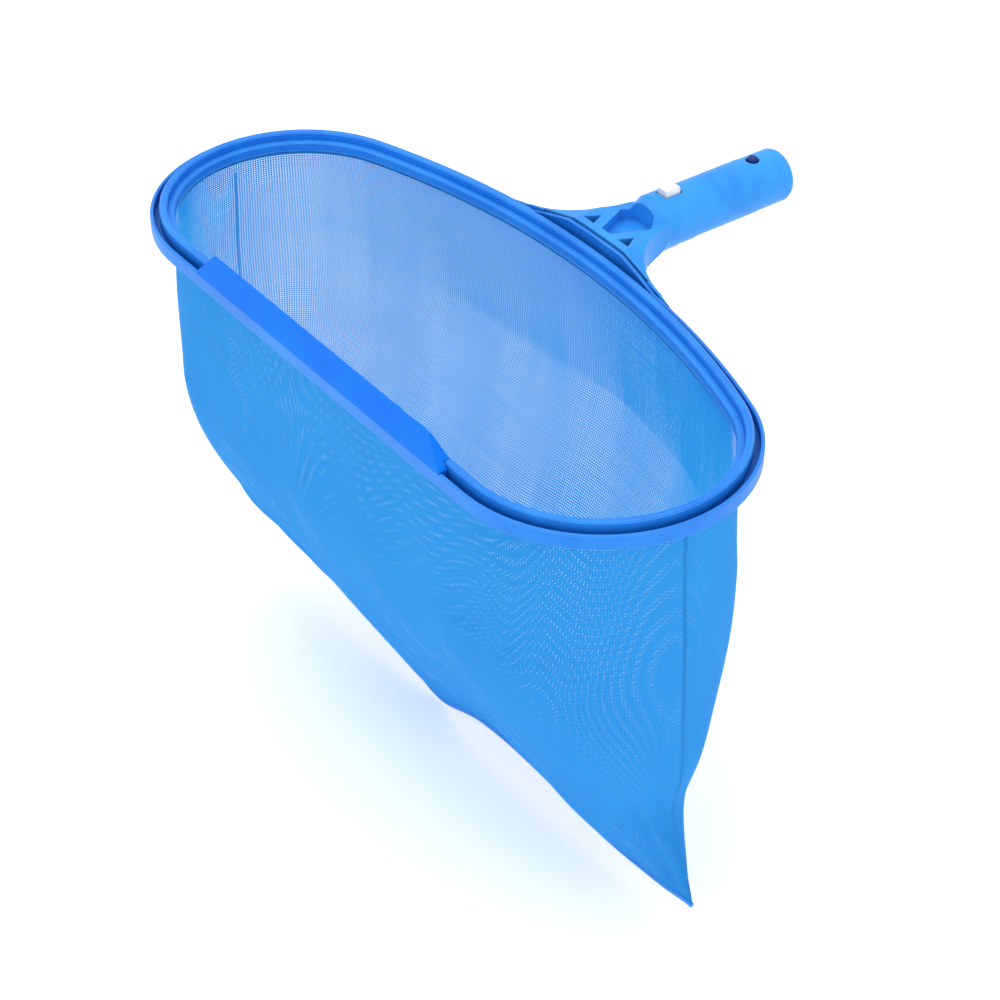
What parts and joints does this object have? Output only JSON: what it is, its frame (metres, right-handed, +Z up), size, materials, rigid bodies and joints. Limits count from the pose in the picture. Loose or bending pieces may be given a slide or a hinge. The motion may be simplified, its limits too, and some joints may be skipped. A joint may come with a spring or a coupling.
{
  "type": "leaf skimmer net",
  "caption": "Pool leaf skimmer: a wide channelled rim with a scoop lip and a deep hanging mesh bag, on a hollow yoke with a push-on pole spigot and a squeeze clip.",
  "frame": {"origin": "middle of the plain stretch of the pole spigot, on its axis", "axes": "+Y along the spigot towards the pole, -Y towards the scoop lip, +Z up out of the bag's mouth, +X along the long side of the rim"},
  "size_m": [0.4, 0.2909, 0.2796],
  "materials": {
    "frame_plastic": "satin moulded",
    "lip_plastic": "satin moulded",
    "mesh": "fine woven mesh",
    "binding": "folded mesh",
    "clip_plastic": "smooth",
    "pin_plastic": "smooth",
    "screw_steel": "zinc plated"
  },
  "bodies": {
    "net": {"rim_frame": "frame_plastic", "clamp_ring": "frame_plastic", "scoop_lip": "lip_plastic", "bag_hem": "binding", "bag_front_panel": "mesh", "bag_back_panel": "mesh", "side_seam_left": "binding", "side_seam_right": "binding", "bottom_seam": "binding", "handle_yoke": "frame_plastic", "yoke_screws": "screw_steel", "clip_bridge": "clip_plastic"},
    "clip_upper": {"clip_leg_upper": "clip_plastic", "clip_pin_upper": "pin_plastic"},
    "clip_lower": {"clip_leg_lower": "clip_plastic", "clip_pin_lower": "pin_plastic"}
  },
  "joints": [
    {"name": "clip_upper_squeeze", "type": "hinge", "parent": "net", "child": "clip_upper", "pos_m": [0, 0.039, 0.0097], "axis": [1, 0, 0], "range_deg": [0, 6.3], "stiffness_Nm_per_rad": 0.4},
    {"name": "clip_lower_squeeze", "type": "hinge", "parent": "net", "child": "clip_lower", "pos_m": [0, 0.039, -0.0097], "axis": [-1, 0, 0], "range_deg": [0, 6.3], "stiffness_Nm_per_rad": 0.4}
  ],
  "couplings": [
    {"joint": "clip_lower_squeeze", "follows": "clip_upper_squeeze", "ratio": 1}
  ]
}
